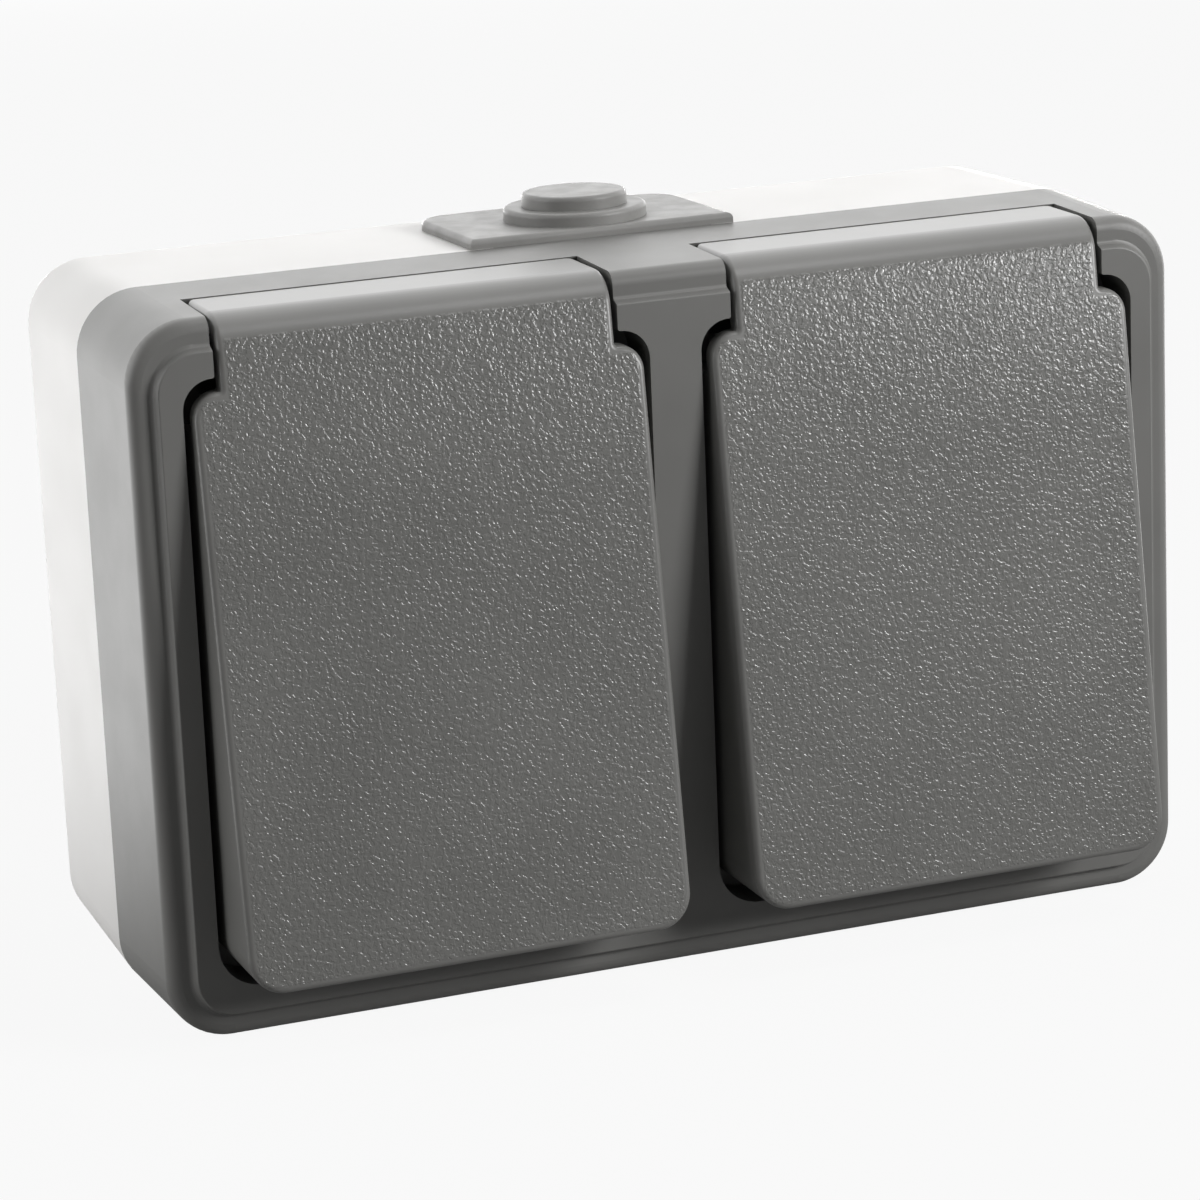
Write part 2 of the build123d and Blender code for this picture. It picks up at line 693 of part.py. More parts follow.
# Live and neutral rails: one strip across both sockets with a folded fork behind each pin hole
rail_middle = rail_back + strip_gauge / 2
for name, sign in (("live", 1), ("neutral", -1)):
    with BuildPart() as rail:
        fork_centres = [x - sign * pin_pitch / 2 for x in lid_centres.values()]
        with BuildSketch(wall_plane(rail_back)):
            with Locations((sum(fork_centres) / 2, sign * rail_height)):
                Rectangle(lid_pitch + fork_width, rail_width)
        extrude(amount=strip_gauge)
        leaf = sign * (plug_pin + strip_gauge) / 2
        for fork_centre in fork_centres:
            with BuildSketch(side_plane(fork_centre)):
                with BuildLine() as fork_line:
                    Polyline(
                        (-rail_middle, sign * rail_height),
                        (-rail_middle, leaf),
                        (fork_length - rail_middle, leaf),
                        (fork_length - rail_middle, -leaf),
                        (-rail_middle, -leaf),
                    )
                trace(fork_line.wires()[0], strip_gauge)
            extrude(amount=fork_width / 2, both=True)
    save(rail.part, f"{name}_rail")

# Earth brackets: a web behind the carrier and two sprung arms that reach into the recess
arm_height = carrier_height / 2 + earth_arm_room + strip_gauge / 2
web_middle = earth_web_back + strip_gauge / 2
for side, centre in lid_centres.items():
    with BuildPart() as earth_clip:
        with BuildSketch(side_plane(centre)):
            with BuildLine() as clip_line:
                Polyline(
                    (-cup_floor_front - earth_tip_reach, arm_height),
                    (-cup_floor_front - earth_bump_reach, arm_height - earth_bump),
                    (-cup_floor_front - earth_root_reach, arm_height),
                    (-web_middle, arm_height),
                    (-web_middle, -arm_height),
                    (-cup_floor_front - earth_root_reach, -arm_height),
                    (-cup_floor_front - earth_bump_reach, earth_bump - arm_height),
                    (-cup_floor_front - earth_tip_reach, -arm_height),
                )
            trace(clip_line.wires()[0], strip_gauge)
        extrude(amount=earth_arm_width / 2, both=True)
    save(earth_clip.part, f"{side}_earth_clip")

# Earth rail across the backs of both brackets
with BuildPart() as earth_rail:
    with BuildSketch(wall_plane(earth_rail_back)):
        Rectangle(lid_pitch + earth_arm_width, rail_width)
    extrude(amount=strip_gauge)
save(earth_rail.part, "earth_rail")

# Wire clamps and their screws, on the middle of each rail where the cable comes in
terminal_places = [(rail_height, rail_back), (-rail_height, rail_back), (0, earth_rail_back)]
clamp_inside = strip_gauge + clamp_wire_room
with BuildPart() as terminal_clamps:
    for height, strip_back in terminal_places:
        with BuildSketch(wall_plane(strip_back - clamp_bar, 0, height)):
            Rectangle(clamp_width, clamp_height)
        extrude(amount=clamp_bar + clamp_inside + clamp_nut)
        with BuildSketch(wall_plane(strip_back, 0, height)):
            Rectangle(2 * clamp_width, clamp_height - 2 * clamp_side)
        extrude(amount=clamp_inside, mode=Mode.SUBTRACT)
        with BuildSketch(wall_plane(strip_back + clamp_inside, 0, height)):
            Circle(screw_radius + screw_fit)
        extrude(amount=clamp_nut, mode=Mode.SUBTRACT)
save(terminal_clamps.part, "terminal_clamps")

with BuildPart() as terminal_screws:
    for height, strip_back in terminal_places:
        screw_tip = strip_back + strip_gauge + terminal_screw_gap
        screw_seat = strip_back + clamp_inside + clamp_nut + terminal_screw_rise
        with BuildSketch(wall_plane(screw_tip, 0, height)):
            Circle(screw_radius)
        extrude(amount=screw_seat - screw_tip)
        with BuildSketch(wall_plane(screw_seat, 0, height)):
            Circle(screw_head_radius)
        extrude(amount=screw_head_height)
        with BuildSketch(wall_plane(screw_seat + screw_head_height, 0, height)):
            Rectangle(2 * screw_head_radius, drive_slot)
        extrude(amount=-drive_depth, mode=Mode.SUBTRACT)
save(terminal_screws.part, "terminal_screws")

# Cover screws, countersunk in the middle of each recess
with BuildPart() as cover_screws:
    for centre in lid_centres.values():
        with BuildSketch(wall_plane(cup_back - cover_screw_reach, centre)):
            Circle(cover_screw_radius)
        extrude(amount=cup_floor_front - cup_back + cover_screw_reach)
        with BuildSketch(wall_plane(cup_floor_front - cover_head_height, centre)):
            Circle(cover_head_radius - cover_head_height)
        with BuildSketch(wall_plane(cup_floor_front, centre)):
            Circle(cover_head_radius)
        loft()
        with BuildSketch(wall_plane(cup_floor_front, centre)):
            Rectangle(drive_length, drive_slot)
            Rectangle(drive_slot, drive_length)
        extrude(amount=-drive_depth, mode=Mode.SUBTRACT)
save(cover_screws.part, "cover_screws")

# Screws that hold the carriers to the posts of the rear housing
with BuildPart() as carrier_screws:
    for centre in lid_centres.values():
        for x, z in carrier_screw_places:
            screw_seat = cup_back - carrier_counterbore
            screw_tip = floor_thickness + boss_blind + screw_tip_gap
            with BuildSketch(wall_plane(screw_tip, centre + x, z)):
                Circle(screw_radius)
            extrude(amount=screw_seat - screw_tip)
            with BuildSketch(wall_plane(screw_seat, centre + x, z)):
                Circle(screw_head_radius)
            extrude(amount=screw_head_height)
            with BuildSketch(wall_plane(screw_seat + screw_head_height, centre + x, z)):
                Rectangle(drive_length, drive_slot)
                Rectangle(drive_slot, drive_length)
            extrude(amount=-drive_depth, mode=Mode.SUBTRACT)
save(carrier_screws.part, "carrier_screws")
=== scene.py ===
"""Dress the double weatherproof socket for its studio picture.

Metres, in the frame of the part: the wall is the plane y = 0, the lids face -Y and +Z is up.
"""
import logging
import math
from dataclasses import dataclass
from enum import Enum
from typing import Any, Optional, Sequence, Union

import bpy
from mathutils import Matrix, Vector


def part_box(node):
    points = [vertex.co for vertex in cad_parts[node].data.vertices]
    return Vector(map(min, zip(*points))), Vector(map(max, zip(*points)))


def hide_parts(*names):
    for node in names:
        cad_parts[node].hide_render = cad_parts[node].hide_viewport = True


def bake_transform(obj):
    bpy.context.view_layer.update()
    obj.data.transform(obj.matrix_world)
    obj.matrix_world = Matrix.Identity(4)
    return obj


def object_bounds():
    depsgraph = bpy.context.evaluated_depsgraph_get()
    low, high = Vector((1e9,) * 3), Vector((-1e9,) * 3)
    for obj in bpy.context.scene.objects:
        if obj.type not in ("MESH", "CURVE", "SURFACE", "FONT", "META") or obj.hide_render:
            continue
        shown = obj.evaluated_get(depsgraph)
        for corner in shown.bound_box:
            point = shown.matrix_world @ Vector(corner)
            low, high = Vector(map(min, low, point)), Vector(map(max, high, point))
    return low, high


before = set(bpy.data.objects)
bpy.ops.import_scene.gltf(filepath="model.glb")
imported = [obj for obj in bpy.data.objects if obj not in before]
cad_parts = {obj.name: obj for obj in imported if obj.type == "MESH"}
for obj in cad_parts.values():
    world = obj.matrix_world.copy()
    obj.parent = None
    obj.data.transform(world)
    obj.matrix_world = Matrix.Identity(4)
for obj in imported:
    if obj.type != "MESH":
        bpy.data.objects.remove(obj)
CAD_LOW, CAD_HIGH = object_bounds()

LOG = logging.getLogger("socket_scene")
Socket = bpy.types.NodeSocket
Number = Union[float, Socket]
Colour = tuple[float, float, float]
Point = tuple[float, float, float]
Span = tuple[float, float]

MM = 0.001
WHITE: Colour = (1.0, 1.0, 1.0)
PLASTIC_IOR = 1.5
# The range that holds most values of a noise texture.
NOISE_MIDDLE: Span = (0.3, 0.7)
# The point that most lamps face.
OBJECT_MIDDLE: Point = (0.0, -0.03, 0.0)


class Board:
    """A short way to place and join the nodes of one shader tree."""

    # Places of the factor, the two colours and the mixed colour among the sockets of a Mix node.
    mix_factor = 0
    mix_colours = (6, 7)
    mix_result = 2

    def __init__(self, tree: bpy.types.NodeTree) -> None:
        """Take a tree and empty it.

        Args:
            tree: The node tree to fill.
        """
        self.tree = tree
        self.tree.nodes.clear()

    def node(
        self, kind: str, settings: Optional[dict[str, Any]] = None, **inputs: Any
    ) -> bpy.types.Node:
        """Add a node, set its options and fill its inputs.

        Args:
            kind: Blender's type name of the node.
            settings: Options of the node, by attribute name.
            inputs: Values or sockets, by input name with spaces as underscores.

        Returns:
            The new node.
        """
        made = self.tree.nodes.new(kind)
        for name, value in (settings or {}).items():
            setattr(made, name, value)
        self.feed(made, **inputs)
        return made

    def feed(self, target: bpy.types.Node, **inputs: Any) -> None:
        """Fill several inputs of a node.

        Args:
            target: The node to fill.
            inputs: Values or sockets, by input name with spaces as underscores.
        """
        for name, value in inputs.items():
            self.fill(target.inputs[name.replace("_", " ")], value)

    def fill(self, target: Socket, value: Any) -> None:
        """Join a socket to an input, or set the input's own value.

        Args:
            target: The input to fill.
            value: A socket to link, or a plain value.
        """
        if isinstance(value, bpy.types.NodeSocket):
            self.tree.links.new(value, target)
        else:
            target.default_value = value

    def math(self, operation: str, first: Number, second: Number = 0.0, third: Number = 0.0) -> Socket:
        """Add a Math node.

        Args:
            operation: The Math node's operation.
            first: First operand.
            second: Second operand.
            third: Third operand, where the operation has one.

        Returns:
            The result's socket.
        """
        made = self.node("ShaderNodeMath", {"operation": operation})
        for target, value in zip(made.inputs, (first, second, third)):
            self.fill(target, value)
        return made.outputs["Value"]

    def ramp(
        self, value: Socket, low: float, high: float, start: Number = 0.0, end: Number = 1.0
    ) -> Socket:
        """Map a value from one range to another with soft ends.

        Args:
            value: The value to map.
            low: Value that gives start.
            high: Value that gives end.
            start: Result at low.
            end: Result at high.

        Returns:
            The mapped value's socket.
        """
        made = self.node("ShaderNodeMapRange", {"interpolation_type": "SMOOTHSTEP"}, Value=value,
                         From_Min=low, From_Max=high, To_Min=start, To_Max=end)
        return made.outputs["Result"]

    def mix(self, factor: Number, first: Any, second: Any) -> Socket:
        """Mix two colours.

        Args:
            factor: Share of the second colour.
            first: First colour or socket.
            second: Second colour or socket.

        Returns:
            The mixed colour's socket.
        """
        made = self.node("ShaderNodeMix", {"data_type": "RGBA"})
        self.fill(made.inputs[self.mix_factor], factor)
        for place, colour in zip(self.mix_colours, (first, second)):
            self.fill(made.inputs[place], colour)
        return made.outputs[self.mix_result]

    def noise(
        self, vector: Socket, scale: Number, detail: float, roughness: float, distortion: float = 0.0
    ) -> Socket:
        """Add a noise texture.

        Args:
            vector: Coordinates at which it is read.
            scale: Its frequency.
            detail: How many finer layers it has.
            roughness: Weight of each layer against the one before.
            distortion: How far the pattern is bent.

        Returns:
            The socket of its value.
        """
        made = self.node("ShaderNodeTexNoise", Vector=vector, Scale=scale, Detail=detail,
                         Roughness=roughness, Distortion=distortion)
        return made.outputs["Fac"]

    def split(self, vector: Socket) -> dict[str, Socket]:
        """Take a vector apart.

        Args:
            vector: The vector's socket.

        Returns:
            The sockets of its parts, by the axis letter.
        """
        made = self.node("ShaderNodeSeparateXYZ", Vector=vector)
        return {axis: made.outputs[axis] for axis in "XYZ"}


def rgba(colour: Colour) -> tuple[float, float, float, float]:
    """Give a colour its alpha of one."""
    return (*colour, 1.0)


def scaled(colour: Colour, share: float) -> Colour:
    """Make a colour darker or lighter by a share of its brightness."""
    return tuple(channel * share for channel in colour)


class EffectGroup:
    """A shader node group that several finishes share."""

    name = "effect"
    inputs: Sequence[tuple[str, str, float]] = ()
    outputs: Sequence[tuple[str, str]] = ()

    def tree(self) -> bpy.types.NodeTree:
        """Build the group once and return it from then on.

        Returns:
            The group's node tree.
        """
        found = bpy.data.node_groups.get(self.name)
        if found is not None:
            return found
        made = bpy.data.node_groups.new(self.name, "ShaderNodeTree")
        for label, kind, default in self.inputs:
            socket = made.interface.new_socket(label, in_out="INPUT", socket_type=kind)
            if kind == "NodeSocketFloat":
                socket.default_value = default
        for label, kind in self.outputs:
            made.interface.new_socket(label, in_out="OUTPUT", socket_type=kind)
        board = Board(made)
        source = board.node("NodeGroupInput")
        target = board.node("NodeGroupOutput")
        for label, value in self.wire(board, source).items():
            board.fill(target.inputs[label], value)
        return made

    def wire(self, board: Board, source: bpy.types.Node) -> dict[str, Socket]:
        """Fill the group's tree.

        Args:
            board: The group's board.
            source: The group's input node.

        Returns:
            A socket for each output's name.
        """
        raise NotImplementedError

    def place(self, board: Board, **values: Any) -> bpy.types.Node:
        """Place the group in a material.

        Args:
            board: The material's board.
            values: Values or sockets for the group's inputs.

        Returns:
            The group node.
        """
        return board.node("ShaderNodeGroup", {"node_tree": self.tree()}, **values)


class MouldTone(EffectGroup):
    """Slow changes of tone and gloss, as melt flow leaves on a moulding, and a fine satin skin."""

    name = "mould_tone"
    inputs = (("Vector", "NodeSocketVector", 0.0), ("Flow Scale", "NodeSocketFloat", 30.0),
              ("Skin Scale", "NodeSocketFloat", 4000.0))
    outputs = (("Tone", "NodeSocketFloat"), ("Gloss", "NodeSocketFloat"), ("Skin", "NodeSocketFloat"))
    # Frequency of the gloss changes against that of the tone changes.
    gloss_ratio = 3.7

    def wire(self, board: Board, source: bpy.types.Node) -> dict[str, Socket]:
        """Fill the group's tree.

        Args:
            board: The group's board.
            source: The group's input node.

        Returns:
            A socket for each output's name.
        """
        vector = source.outputs["Vector"]
        flow_scale = source.outputs["Flow Scale"]
        gloss_scale = board.math("MULTIPLY", flow_scale, self.gloss_ratio)
        skin_scale = source.outputs["Skin Scale"]
        return {
            "Tone": board.noise(vector, flow_scale, detail=3.0, roughness=0.55),
            "Gloss": board.noise(vector, gloss_scale, detail=4.0, roughness=0.6),
            "Skin": board.noise(vector, skin_scale, detail=2.0, roughness=0.5),
        }


class SparkGrain(EffectGroup):
    """Grain of a spark-eroded mould: crowded flat-topped bumps with narrow valleys, and a mask of painted
    shade for those valleys.
    """

    name = "spark_grain"
    inputs = (("Vector", "NodeSocketVector", 0.0), ("Scale", "NodeSocketFloat", 1000.0))
    outputs = (("Height", "NodeSocketFloat"), ("Valley Shade", "NodeSocketFloat"))
    # Frequency and share of the fine grain that lies on the broad bumps.
    fine_ratio = 2.1
    fine_share = 0.15
    # Noise values at the foot and the top of the bumps, and heights at a valley's edge and floor, between
    # which the painted valley shade grows.
    broad_span: Span = (0.38, 0.62)
    fine_span: Span = (0.35, 0.65)
    valley_shade_span: Span = (0.45, 0.1)

    def wire(self, board: Board, source: bpy.types.Node) -> dict[str, Socket]:
        """Fill the group's tree.

        Args:
            board: The group's board.
            source: The group's input node.

        Returns:
            A socket for each output's name.
        """
        vector = source.outputs["Vector"]
        scale = source.outputs["Scale"]
        broad = board.noise(vector, scale, detail=1.0, roughness=0.4, distortion=0.5)
        fine_scale = board.math("MULTIPLY", scale, self.fine_ratio)
        fine = board.noise(vector, fine_scale, detail=1.0, roughness=0.5)
        bumps = board.math("MULTIPLY", board.ramp(broad, *self.broad_span), 1 - self.fine_share)
        height = board.math("MULTIPLY_ADD", board.ramp(fine, *self.fine_span), self.fine_share, bumps)
        # The second output is the share of painted shade that darkens the valleys.
        return {"Height": height, "Valley Shade": board.ramp(height, *self.valley_shade_span)}


class Finish:
    """A named surface finish that builds its material once."""

    name: str
    colour: Colour

    def material(self) -> bpy.types.Material:
        """Build the material, or return it if it is there.

        Returns:
            The finished material.
        """
        found = bpy.data.materials.get(self.name)
        if found is not None:
            return found
        made = bpy.data.materials.new(self.name)
        made.use_nodes = True
        board = Board(made.node_tree)
        shader = board.node("ShaderNodeBsdfPrincipled")
        board.node("ShaderNodeOutputMaterial", Surface=shader.outputs["BSDF"])
        coordinates = board.node("ShaderNodeTexCoord").outputs["Object"]
        self.dress(board, shader, coordinates)
        return made

    def dress(self, board: Board, shader: bpy.types.Node, coordinates: Socket) -> None:
        """Fill the shader's inputs.

        Args:
            board: The material's board.
            shader: Its Principled shader.
            coordinates: Object coordinates in metres.
        """
        raise NotImplementedError

    def toned(self, board: Board, tone: Socket, darkest: float, lightest: float) -> Socket:
        """Let the finish's colour stray with a slow tone.

        Args:
            board: The material's board.
            tone: The tone, as noise.
            darkest: Share of the colour's brightness where the tone is low.
            lightest: Share of the colour's brightness where the tone is high.

        Returns:
            The colour's socket.
        """
        share = board.ramp(tone, *NOISE_MIDDLE)
        return board.mix(share, rgba(scaled(self.colour, darkest)), rgba(scaled(self.colour, lightest)))


def bump(board: Board, shader: bpy.types.Node, layers: Sequence[tuple[Socket, float]]) -> None:
    """Stack heights as bumps into a shader's normal.

    Args:
        board: The material's board.
        shader: The shader whose normal is set.
        layers: Pairs of a height and the metres that one unit of it stands for.
    """
    normal: Optional[Socket] = None
    for height, depth in layers:
        made = board.node("ShaderNodeBump", Strength=1.0, Distance=depth, Height=height)
        if normal is not None:
            board.feed(made, Normal=normal)
        normal = made.outputs["Normal"]
    if normal is not None:
        board.feed(shader, Normal=normal)


@dataclass(frozen=True)
class MouldedPlastic(Finish):
    """Satin injection-moulded plastic.

    Attributes:
        name: Name of the material.
        colour: Linear base colour.
        roughness: Middle roughness.
        gloss_stray: How far the roughness strays to each side.
        tone_share: How far the colour strays to each side.
        skin_depth: Depth of the satin skin.
        flow_scale: Frequency of the slow tone changes.
    """

    name: str
    colour: Colour
    roughness: float = 0.42
    gloss_stray: float = 0.02
    tone_share: float = 0.05
    skin_depth: float = 0.002 * MM
    flow_scale: float = 30.0

    def dress(self, board: Board, shader: bpy.types.Node, coordinates: Socket) -> None:
        """Fill the shader's inputs.

        Args:
            board: The material's board.
            shader: Its Principled shader.
            coordinates: Object coordinates in metres.
        """
        tone = MouldTone().place(board, Vector=coordinates, Flow_Scale=self.flow_scale).outputs
        gloss = board.ramp(tone["Gloss"], *NOISE_MIDDLE, self.roughness - self.gloss_stray,
                           self.roughness + self.gloss_stray)
        base = self.toned(board, tone["Tone"], 1 - self.tone_share, 1 + self.tone_share)
        board.feed(shader, Base_Color=base, Roughness=gloss, IOR=PLASTIC_IOR)
        bump(board, shader, [(tone["Skin"], self.skin_depth)])


@dataclass(frozen=True)
class GrainedPlastic(Finish):
    """Moulded plastic with a spark-eroded grain on the tilted faces of the lids, and painted shade in the
    grain's valleys.

    Attributes:
        name: Name of the material.
        colour: Linear base colour.
        pitch: Distance between the middles of the lids.
        half_width: Half the width of a lid below its shoulders.
        half_neck: Half the width of a lid's neck.
        bottom: Height of a lid's lower edge.
        shoulder: Height of a lid's shoulders.
        top: Height where the grain ends on the neck.
        slope: How far the outer face comes forward for each metre down.
        face: Depth of the outer face at height zero.
        face_band: How far behind the outer face the grain ends and is full.
        facing: Y of a face's normal in the scene where the grain starts and is full.
        border: Width of the smooth edge round the grain.
        soft_edge: Width over which the grain fades out at that edge.
        roughness: Roughness of the smooth part.
        grain_roughness: Roughness on the grain's slopes and tops.
        grain_depth: Depth of the grain.
        grain_scale: Frequency of the grain.
        valley_shade_share: How strongly painted shade darkens the grain's valleys.
        valley_shade_tone: Share of the colour's brightness in that painted valley shade.
        tone_share: How far the colour strays to each side.
        skin_depth: Depth of the satin skin.
        flow_scale: Frequency of the slow tone changes.
        crown_span: Height below the top over which the face bends back.
        crown_slope: Slope of that bend at the top.
    """

    name: str
    colour: Colour
    pitch: float
    half_width: float
    half_neck: float
    bottom: float
    shoulder: float
    top: float
    slope: float
    face: float
    face_band: Span = (1.0 * MM, 0.5 * MM)
    facing: Span = (-0.8, -0.87)
    border: float = 0.75 * MM
    soft_edge: float = 0.4 * MM
    roughness: float = 0.38
    grain_roughness: float = 0.26
    grain_depth: float = 0.048 * MM
    grain_scale: float = 1850.0
    valley_shade_share: float = 0.12
    valley_shade_tone: float = 0.6
    tone_share: float = 0.05
    skin_depth: float = 0.001 * MM
    flow_scale: float = 45.0
    crown_span: float = 24.0 * MM
    crown_slope: float = 0.16

    def dress(self, board: Board, shader: bpy.types.Node, coordinates: Socket) -> None:
        """Fill the shader's inputs.

        Args:
            board: The material's board.
            shader: Its Principled shader.
            coordinates: Object coordinates in metres.
        """
        mask = self.grain_mask(board, coordinates)
        grain = SparkGrain().place(board, Vector=coordinates, Scale=self.grain_scale).outputs
        tone = MouldTone().place(board, Vector=coordinates, Flow_Scale=self.flow_scale).outputs
        base = self.toned(board, tone["Tone"], 1 - self.tone_share, 1 + self.tone_share)
        # Painted shade: the base colour is darkened in the grain's valleys.
        valley_shade = board.math("MULTIPLY", board.math("MULTIPLY", grain["Valley Shade"], mask), self.valley_shade_share)
        grain_with_shade = board.mix(valley_shade, base, rgba(scaled(self.colour, self.valley_shade_tone)))
        gloss = board.ramp(mask, 0.0, 1.0, self.roughness, self.grain_roughness)
        board.feed(shader, Base_Color=grain_with_shade, Roughness=gloss, IOR=PLASTIC_IOR)
        bump(board, shader, [
            (self.crown(board, coordinates), 1.0),
            (tone["Skin"], self.skin_depth),
            (board.math("MULTIPLY", grain["Height"], mask), self.grain_depth),
        ])

    def crown(self, board: Board, coordinates: Socket) -> Socket:
        """Bend the shading back over the upper part of the lids.

        Args:
            board: The material's board.
            coordinates: Object coordinates in metres.

        Returns:
            A height in metres that falls off towards the top.
        """
        start = self.top - self.crown_span
        above = board.math("MAXIMUM", board.math("SUBTRACT", board.split(coordinates)["Z"], start), 0.0)
        bend = -0.5 * self.crown_slope / self.crown_span
        return board.math("MULTIPLY", board.math("POWER", above, 2.0), bend)

    def grain_mask(self, board: Board, coordinates: Socket) -> Socket:
        """Tell the grained field of the tilted faces from the smooth border.

        The normal is read in the scene's axes, so the grain shows on shut lids and fades as they open.

        Args:
            board: The material's board.
            coordinates: Object coordinates in metres.

        Returns:
            A socket that is 1 on the grain and 0 off it.
        """
        place = board.split(coordinates)
        from_middle = board.math("SUBTRACT", board.math("ABSOLUTE", place["X"]), self.pitch / 2)
        across = board.math("ABSOLUTE", from_middle)
        panel = board.math("MULTIPLY", self.below(board, across, self.half_width - self.border),
                           self.below(board, place["Z"], self.shoulder - self.border))
        neck = self.below(board, across, self.half_neck - self.border)
        field = board.math("MAXIMUM", panel, neck)
        lowest = self.bottom + self.border
        forward = board.math("MULTIPLY", place["Y"], -1.0)
        depth = board.math("MULTIPLY_ADD", place["Z"], self.slope, forward)
        behind, full = self.face_band
        normal = board.split(board.node("ShaderNodeNewGeometry").outputs["True Normal"])
        limits = (
            self.below(board, place["Z"], self.top),
            board.ramp(place["Z"], lowest, lowest + self.soft_edge),
            board.ramp(depth, self.face - behind, self.face - full),
            board.ramp(normal["Y"], *self.facing),
        )
        for limit in limits:
            field = board.math("MULTIPLY", field, limit)
        return field

    def below(self, board: Board, value: Socket, limit: float) -> Socket:
        """Give 1 where a value is below a limit, with a soft edge.

        Args:
            board: The material's board.
            value: The value to test.
            limit: Where the result reaches 0.

        Returns:
            The result's socket.
        """
        return board.ramp(value, limit, limit - self.soft_edge)


@dataclass(frozen=True)
class Rubber(Finish):
    """Matt moulded rubber with a dusty bloom.

    Attributes:
        name: Name of the material.
        colour: Linear base colour.
        roughness: Middle roughness.
        gloss_stray: How far the roughness strays to each side.
        tone_share: How far the colour strays to each side.
        skin_depth: Depth of the matt skin.
        skin_scale: Frequency of the matt skin.
        flow_scale: Frequency of the slow tone changes.
    """

    name: str
    colour: Colour
    roughness: float = 0.62
    gloss_stray: float = 0.05
    tone_share: float = 0.1
    skin_depth: float = 0.01 * MM
    skin_scale: float = 2600.0
    flow_scale: float = 90.0

    def dress(self, board: Board, shader: bpy.types.Node, coordinates: Socket) -> None:
        """Fill the shader's inputs.

        Args:
            board: The material's board.
            shader: Its Principled shader.
            coordinates: Object coordinates in metres.
        """
        tone = MouldTone().place(board, Vector=coordinates, Flow_Scale=self.flow_scale,
                                 Skin_Scale=self.skin_scale).outputs
        gloss = board.ramp(tone["Gloss"], *NOISE_MIDDLE, self.roughness - self.gloss_stray,
                           self.roughness + self.gloss_stray)
        base = self.toned(board, tone["Tone"], 1 - self.tone_share, 1 + self.tone_share)
        board.feed(shader, Base_Color=base, Roughness=gloss)
        bump(board, shader, [(tone["Skin"], self.skin_depth)])


@dataclass(frozen=True)
class StripMetal(Finish):
    """Plated wire or rolled strip with fine drawing lines.

    Attributes:
        name: Name of the material.
        colour: Linear base colour.
        roughness: Middle roughness.
        gloss_stray: How far the roughness falls and rises.
        dark_share: Share of the colour's brightness where the tone is low.
        line_axis: Direction along which the drawing lines run.
        line_scales: Frequency of the lines along and across that direction.
        line_span: Noise values between which the roughness changes.
        line_depth: Depth of the lines.
        flow_scale: Frequency of the slow tone changes.
    """

    name: str
    colour: Colour
    roughness: float = 0.3
    gloss_stray: Span = (0.08, 0.1)
    dark_share: float = 0.86
    line_axis: Point = (1.0, 0.0, 0.0)
    line_scales: Span = (40.0, 2200.0)
    line_span: Span = (0.25, 0.75)
    line_depth: float = 0.004 * MM
    flow_scale: float = 120.0

    def dress(self, board: Board, shader: bpy.types.Node, coordinates: Socket) -> None:
        """Fill the shader's inputs.

        Args:
            board: The material's board.
            shader: Its Principled shader.
            coordinates: Object coordinates in metres.
        """
        along, across = self.line_scales
        stretch = tuple(along if runs else across for runs in self.line_axis)
        lines_at = board.node("ShaderNodeMapping", Vector=coordinates, Scale=stretch).outputs["Vector"]
        lines = board.noise(lines_at, 1.0, detail=3.0, roughness=0.6)
        tone = MouldTone().place(board, Vector=coordinates, Flow_Scale=self.flow_scale).outputs["Tone"]
        fall, rise = self.gloss_stray
        gloss = board.ramp(lines, *self.line_span, self.roughness - fall, self.roughness + rise)
        base = self.toned(board, tone, self.dark_share, 1.0)
        board.feed(shader, Base_Color=base, Roughness=gloss, Metallic=1.0)
        bump(board, shader, [(lines, self.line_depth)])


class Side(Enum):
    """The two sockets, by their side seen from the front."""

    LEFT = "left"
    RIGHT = "right"


@dataclass(frozen=True)
class PhotoCamera:
    """The photograph's camera, as fitted to the housing's edges.

    Attributes:
        place: Where the camera stands.
        yaw: Turn about the vertical, in degrees.
        pitch: Look up or down, in degrees.
        roll: Turn about the line of sight, in degrees.
        focal_px: Focal length in pixels of the photograph.
        image_px: Side of the photograph in pixels.
        sensor_mm: Sensor width in millimetres.
        clip_start: Nearest distance that the camera shows.
    """

    place: Point = (-0.19642, -0.54355, 0.14411)
    yaw: float = -20.6
    pitch: float = -14.88
    roll: float = -2.4
    focal_px: float = 4330.0
    image_px: float = 1200.0
    sensor_mm: float = 36.0
    clip_start: float = 0.01

    def build(self) -> bpy.types.Object:
        """Make the camera and set it as the scene's own.

        Returns:
            The camera's object.
        """
        bpy.ops.object.select_all(action="DESELECT")
        bpy.ops.object.camera_add(location=self.place)
        camera = bpy.context.object
        camera.name = "photo_camera"
        yaw, pitch, roll = (math.radians(angle) for angle in (self.yaw, self.pitch, self.roll))
        right = Vector((math.cos(yaw), math.sin(yaw), 0.0))
        level = math.cos(pitch)
        forward = Vector((-math.sin(yaw) * level, math.cos(yaw) * level, math.sin(pitch)))
        up = right.cross(forward)
        rolled_right = math.cos(roll) * right + math.sin(roll) * up
        rolled_up = -math.sin(roll) * right + math.cos(roll) * up
        turn = Matrix((rolled_right, rolled_up, -forward)).transposed()
        camera.rotation_euler = turn.to_euler()
        camera.data.sensor_width = self.sensor_mm
        camera.data.lens = self.focal_px / self.image_px * self.sensor_mm
        camera.data.clip_start = self.clip_start
        bpy.context.scene.camera = camera
        LOG.info("camera %s", camera.name)
        return camera


